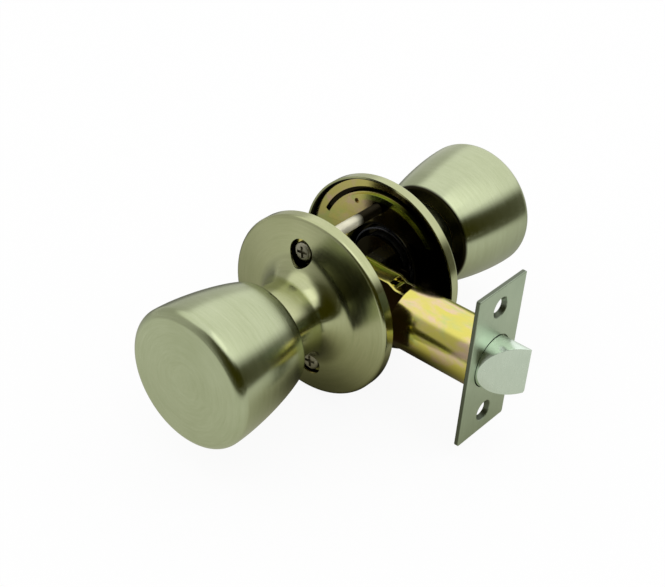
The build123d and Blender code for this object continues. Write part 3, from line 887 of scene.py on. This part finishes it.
def makeFaceplate():
    shape = plateShape
    low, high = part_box("latch_faceplate")
    bm = brick(low, high)
    # the four edges that run through the plate
    upright = [e for e in bm.edges if abs((e.verts[0].co - e.verts[1].co).x) > 0.5 * (high.x - low.x)]
    bmesh.ops.bevel(bm, geom=upright, offset=shape["corner"], offset_type="OFFSET", affect="EDGES",
                    segments=shape["cornerSteps"], profile=0.5, material=-1)
    softenEdges(bm, shape["edge"], shape["edgeAngle"])
    depth = shape["sinkRadius"] - shape["holeRadius"]
    back, front = low.x - cutPast, high.x + cutPast
    sinkPoints = [(0, back), (shape["holeRadius"], back), (shape["holeRadius"], high.x - depth),
                  (shape["sinkRadius"] + cutPast, front), (0, front)]
    cutters = [cylinder(shape["boltHole"], back, front, (1, 0, 0), shape["boltHoleSteps"])]
    for z in (-shape["holeReach"], shape["holeReach"]):
        sink = layAlongX(spinRound(wire(sinkPoints, {}), shape["holeSteps"]))
        bmesh.ops.translate(sink, verts=sink.verts, vec=(0, 0, z))
        cutters.append(sink)
    bm = carve(bm, cutters)
    addPiece(bm, "latch_faceplate_plate", paleNickel, "case", "latch_faceplate")
    print("faceplate made")


boltShape = {
    "radius": 9.1 * mm, "noseOverlap": 3 * mm, "flat": 4.0 * mm, "tipWidth": 0.9 * mm,
    "bevelStart": 61.0 * mm, "edge": 0.35 * mm, "edgeSteps": 3, "steps": 128,
    "edgeAngle": 24, "sharpAngle": 12,          # degrees
    "flangeRadius": 9.7 * mm, "flangeFront": 58.5 * mm, "flangeEdge": 0.3 * mm, "flangeSteps": 2,
    "shoulder": 1.5 * mm, "rodHole": 1.3 * mm, "bore": 2.2 * mm, "boreEnd": 65.5 * mm, "boreSteps": 48,
    "lugStart": 51.1 * mm, "lugLength": 2.4 * mm, "lugReach": 10.7 * mm, "lugWidth": 1.2 * mm,
    "lugRoot": 1 * mm,                          # outside the bore
    "planeReach": 0.0001 * mm,
}


def makeBolt():
    shape = boltShape
    low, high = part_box("latch_bolt")
    nose = cylinder(shape["radius"], shape["flangeFront"] - shape["noseOverlap"], high.x, (1, 0, 0),
                    shape["steps"])
    tip = Vector((high.x, shape["flat"] - shape["tipWidth"], 0))
    foot = Vector((shape["bevelStart"], -shape["radius"], 0))
    along = tip - foot
    cuts = [((0, shape["flat"], 0), (0, 1, 0)), (foot, (along.y, -along.x, 0))]
    for point, normal in cuts:
        whole = nose.verts[:] + nose.edges[:] + nose.faces[:]
        cut = bmesh.ops.bisect_plane(nose, geom=whole, dist=shape["planeReach"], plane_co=point,
                                     plane_no=normal, clear_outer=True)
        rim = [e for e in cut["geom_cut"] if isinstance(e, bmesh.types.BMEdge)]
        bmesh.ops.edgeloop_fill(nose, edges=rim)
    bmesh.ops.recalc_face_normals(nose, faces=nose.faces)
    softenEdges(nose, shape["edge"], shape["edgeAngle"], shape["edgeSteps"])
    flangePoints = [(0, low.x), (shape["flangeRadius"], low.x), (shape["flangeRadius"], shape["flangeFront"]),
                    (0, shape["flangeFront"])]
    flangeRound = (shape["flangeEdge"], shape["flangeSteps"])
    flange = layAlongX(spinRound(wire(flangePoints, {1: flangeRound, 2: flangeRound}), shape["steps"]))
    half = shape["lugWidth"] / 2
    lug = brick((shape["lugStart"], shape["bore"] + shape["lugRoot"], -half),
                (shape["lugStart"] + shape["lugLength"], shape["lugReach"], half))
    bm = carve(nose, [flange, lug], "UNION")
    rear, shoulder = low.x - cutPast, low.x + shape["shoulder"]
    borePoints = [(0, rear), (shape["rodHole"], rear), (shape["rodHole"], shoulder),
                  (shape["bore"], shoulder), (shape["bore"], shape["boreEnd"]), (0, shape["boreEnd"])]
    bore = layAlongX(spinRound(wire(borePoints, {}), shape["boreSteps"]))
    bm = carve(bm, [bore])
    addPiece(bm, "latch_bolt_nose", litBoltNickel, "bolt", "latch_bolt", shape["sharpAngle"])
    print("bolt made")


# Screws and springs

screwShape = {
    "headRadius": 3.4 * mm, "headHeight": 1.8 * mm, "headRound": 0.99 * mm, "headSteps": 6,
    "shankRadius": 2.05 * mm, "threadDepth": 0.28 * mm, "threadPitch": 0.75 * mm, "threadLength": 12 * mm,
    "crossLength": 4.2 * mm, "crossWidth": 1.0 * mm, "crossDepth": 1.1 * mm, "steps": 48,
}


def makeScrews():
    shape = screwShape
    low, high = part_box("mounting_screws")
    top, end = low.y, high.y
    seat = top + shape["headHeight"]
    thin = shape["shankRadius"] - shape["threadDepth"]
    points = [(0, top), (shape["headRadius"], top), (shape["headRadius"], seat), (shape["shankRadius"], seat)]
    place = end - shape["threadLength"]
    while place < end - shape["threadPitch"]:
        points.append((shape["shankRadius"], place))
        points.append((thin, place + shape["threadPitch"] / 2))
        place += shape["threadPitch"]
    points += [(thin, end), (0, end)]
    longHalf, wideHalf = shape["crossLength"] / 2, shape["crossWidth"] / 2
    above, below = top - cutPast, top + shape["crossDepth"]
    joined = bmesh.new()
    for z in (-screwReach, screwReach):
        screw = spinRound(wire(points, {1: (shape["headRound"], shape["headSteps"])}), shape["steps"])
        cross = [brick((-longHalf, above, -wideHalf), (longHalf, below, wideHalf)),
                 brick((-wideHalf, above, -longHalf), (wideHalf, below, longHalf))]
        screw = carve(screw, cross)
        bmesh.ops.translate(screw, verts=screw.verts, vec=(0, 0, z))
        mesh = bpy.data.meshes.new("screw")
        screw.to_mesh(mesh)
        screw.free()
        joined.from_mesh(mesh)
        bpy.data.meshes.remove(mesh)
    turnMesh(joined, roseTurn, "Y")
    addPiece(joined, "mounting_screw_pair", screwZinc, "case", "mounting_screws")
    print("screws made")


springShape = {
    "radius": 1.8 * mm, "wire": 0.7 * mm, "turns": 11, "turnSteps": 40, "wireSteps": 14,
    "sharpAngle": 60,           # degrees
    "keep": 0.611,              # of the length, with the bolt pushed in
}


def coilMesh(radius, wireThickness, pitch, turns):
    # wire wound about the X axis from x 0
    bm = bmesh.new()
    bmesh.ops.create_circle(bm, cap_ends=False, segments=springShape["wireSteps"], radius=wireThickness / 2)
    turnMesh(bm, 90, "Y")
    turnMesh(bm, 90, "Z")
    bmesh.ops.translate(bm, verts=bm.verts, vec=(0, 0, radius))
    steps = round(turns * springShape["turnSteps"])
    bmesh.ops.spin(bm, geom=bm.verts[:] + bm.edges[:], cent=(0, 0, 0), axis=(1, 0, 0),
                   dvec=(pitch * turns / steps, 0, 0), angle=math.tau * turns, steps=steps,
                   use_merge=False, use_duplicate=False)
    bmesh.ops.remove_doubles(bm, verts=bm.verts, dist=weldReach)
    bmesh.ops.holes_fill(bm, edges=bm.edges, sides=0)
    bmesh.ops.recalc_face_normals(bm, faces=bm.faces)
    return bm


def makeBoltSpring():
    shape = springShape
    low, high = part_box("bolt_spring")
    span = high.x - low.x - shape["wire"]
    bm = coilMesh(shape["radius"], shape["wire"], span / shape["turns"], shape["turns"])
    bmesh.ops.translate(bm, verts=bm.verts, vec=(low.x + shape["wire"] / 2, 0, 0))
    coil = addPiece(bm, "bolt_spring_coil", springSteel, "retractor", "bolt_spring",
                    shape["sharpAngle"])
    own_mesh(coil)
    print("bolt spring made")


# Stamped, turned and wound pieces that keep the solid's form, with their edges eased

easedPairs = {
    "mounting_plate": (plateZinc, "case", "yellow_zinc", 0.12 * mm),
    "spring_cup": (cupZinc, "case", "yellow_zinc", 0.12 * mm),
    "drive_cam": (cupZinc, "knob_set", "yellow_zinc", 0.15 * mm),
    "retaining_ring": (springSteel, "knob_set", "spring_steel", 0.1 * mm),
    "knob_shank": (plainSteel, "knob_set", "plain_steel", 0.15 * mm),
    "neck_bush": (bushBronze, "case", "bush_brass", 0.12 * mm),
    "return_spring": (springSteel, "case", "spring_steel", 0.0),
}
easedSingles = {
    "case_channel": (yellowZinc, "case", "yellow_zinc", 0.06 * mm),
    "case_cover": (yellowZinc, "case", "yellow_zinc", 0.06 * mm),
    "case_rivets": (brightZinc, "case", "bright_zinc", 0.15 * mm),
    "spindle": (brightZinc, "knob_set", "bright_zinc", 0.25 * mm),
    "latch_hub": (plainSteel, "knob_set", "plain_steel", 0.15 * mm),
    "retractor": (yellowZinc, "retractor", "yellow_zinc", 0.15 * mm),
    "tail_rod": (brightZinc, "retractor", "bright_zinc", 0.1 * mm),
}
easing = {"flatAngle": 0.3, "sharpAngle": 15, "roundAngle": 40}     # degrees, the last for wire


def easedCopy(node, material, body, slot, width):
    bm = bmesh.new()
    bm.from_mesh(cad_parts[node].data)
    bmesh.ops.remove_doubles(bm, verts=bm.verts, dist=weldReach)
    bmesh.ops.dissolve_limit(bm, angle_limit=math.radians(easing["flatAngle"]), use_dissolve_boundaries=False,
                             verts=bm.verts, edges=bm.edges)
    if width:
        softenEdges(bm, width)
    sharpAngle = easing["sharpAngle"] if width else easing["roundAngle"]
    addPiece(bm, node + "_eased", material, body, node, sharpAngle)


def makeEased():
    for name, values in easedPairs.items():
        for side in doorSides:
            easedCopy(side + "_" + name, *values)
    for name, values in easedSingles.items():
        easedCopy(name, *values)
    print("inner pieces eased")


makeCamera()
makeLamps()
makeWorld()
makeFloor()
makeRoom()
makeTable()
makeGapShade()
makeKnobs()
makeRoses()
makeTube()
makeFaceplate()
makeBolt()
makeScrews()
makeBoltSpring()
makeEased()
